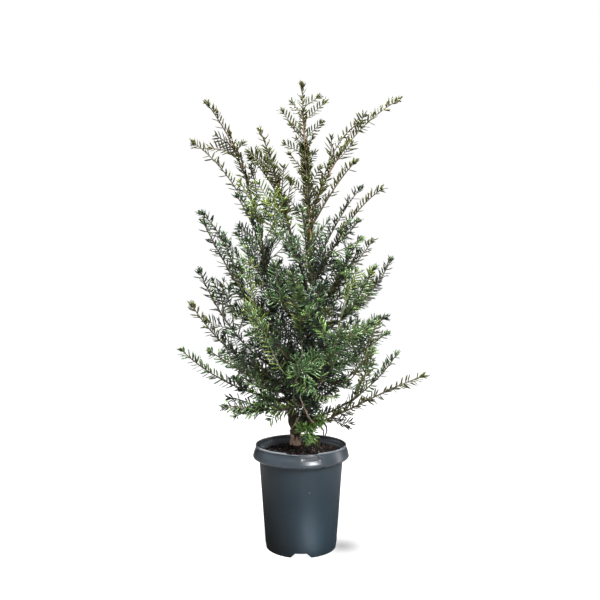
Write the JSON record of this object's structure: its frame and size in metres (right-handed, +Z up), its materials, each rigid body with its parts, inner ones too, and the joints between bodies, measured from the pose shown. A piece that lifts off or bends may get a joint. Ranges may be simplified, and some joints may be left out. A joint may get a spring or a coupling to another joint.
{
  "type": "english yew",
  "caption": "Young upright evergreen conifer with a slim trunk, ascending boughs and sprays of dark flat needles, growing in compost in a tapered plastic nursery pot.",
  "frame": {"origin": "on the ground under the middle of the pot", "axes": "+Z up along the pot's axis; -Y is the front, the side the picture shows; +X to its right"},
  "size_m": [0.6081, 0.4494, 1.1717],
  "materials": {
    "pot_plastic": "slate grey moulded polypropylene with a soft sheen",
    "compost": "damp dark brown compost, crumbly",
    "bark": "thin flaky pink-brown bark, darker higher up",
    "needles": "leathery dark green needles, yellow-green on new shoots"
  },
  "bodies": {
    "root": {"pot": "pot_plastic", "soil": "compost", "trunk": "bark", "second_stem": "bark", "bough_left_skirt": "bark", "bough_left_low": "bark", "bough_left_low_front": "bark", "bough_left_wide": "bark", "bough_left_middle": "bark", "bough_left_shoulder": "bark", "bough_left_inner": "bark", "bough_right_skirt": "bark", "bough_right_low": "bark", "bough_right_wide_back": "bark", "bough_right_wide": "bark", "bough_right_middle": "bark", "bough_right_shoulder": "bark", "bough_right_upper": "bark", "bough_right_top": "bark", "bough_front_low": "bark", "bough_front_left": "bark", "bough_front_right": "bark", "bough_front_middle": "bark", "bough_back_low_left": "bark", "bough_back_low_right": "bark", "bough_back_middle": "bark", "bough_back_left": "bark", "bough_back_right": "bark", "foliage_second_stem": "needles", "foliage_left_skirt": "needles", "foliage_left_low": "needles", "foliage_left_low_front": "needles", "foliage_left_wide": "needles", "foliage_left_middle": "needles", "foliage_left_shoulder": "needles", "foliage_left_upper": "needles", "foliage_left_inner": "needles", "foliage_right_skirt": "needles", "foliage_right_low": "needles", "foliage_right_wide_back": "needles", "foliage_right_wide": "needles", "foliage_right_middle": "needles", "foliage_right_shoulder": "needles", "foliage_right_upper": "needles", "foliage_right_upper_back": "needles", "foliage_right_upper_front": "needles", "foliage_right_top": "needles", "foliage_front_foot": "needles", "foliage_front_low": "needles", "foliage_front_left": "needles", "foliage_front_right": "needles", "foliage_front_middle": "needles", "foliage_front_upper": "needles", "foliage_back_low_left": "needles", "foliage_back_low_right": "needles", "foliage_back_middle": "needles", "foliage_back_left": "needles", "foliage_back_right": "needles", "foliage_back_top": "needles", "foliage_leader": "needles"}
  },
  "joints": []
}
